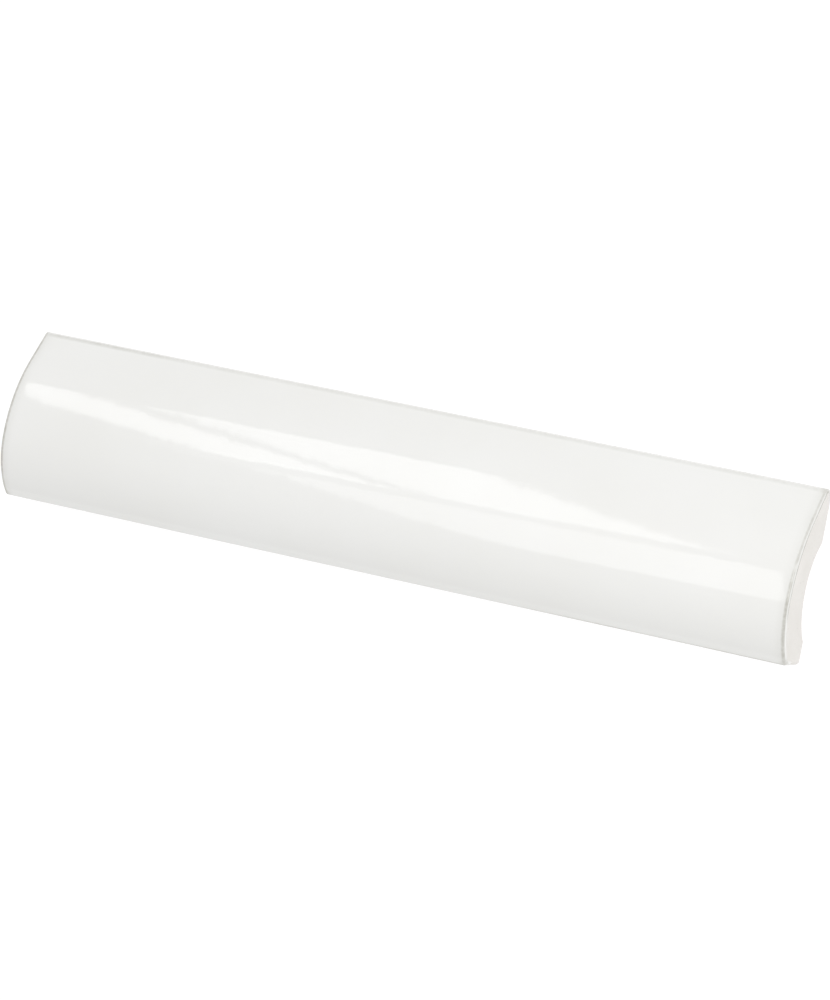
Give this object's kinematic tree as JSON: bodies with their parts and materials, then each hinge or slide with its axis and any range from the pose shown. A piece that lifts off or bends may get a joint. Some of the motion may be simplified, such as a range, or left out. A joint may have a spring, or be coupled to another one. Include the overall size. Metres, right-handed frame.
{
  "type": "bullnose tile",
  "caption": "White glazed ceramic trim tile: a long strip with an off-centre rounded face falling to a thick and a thin edge, bare ends and a hollow back that keys the adhesive.",
  "frame": {"origin": "middle of the back, on the plane of the two feet that bed on the wall", "axes": "+X along the tile, +Y across it from the thick edge to the thin edge, +Z out of the wall through the rounded face"},
  "size_m": [0.15, 0.03, 0.0118],
  "materials": {
    "white_glaze": "gloss white glaze on the face, bare matt off-white clay on the ends and the back"
  },
  "bodies": {
    "root": {"bullnose_tile": "white_glaze"}
  },
  "joints": []
}
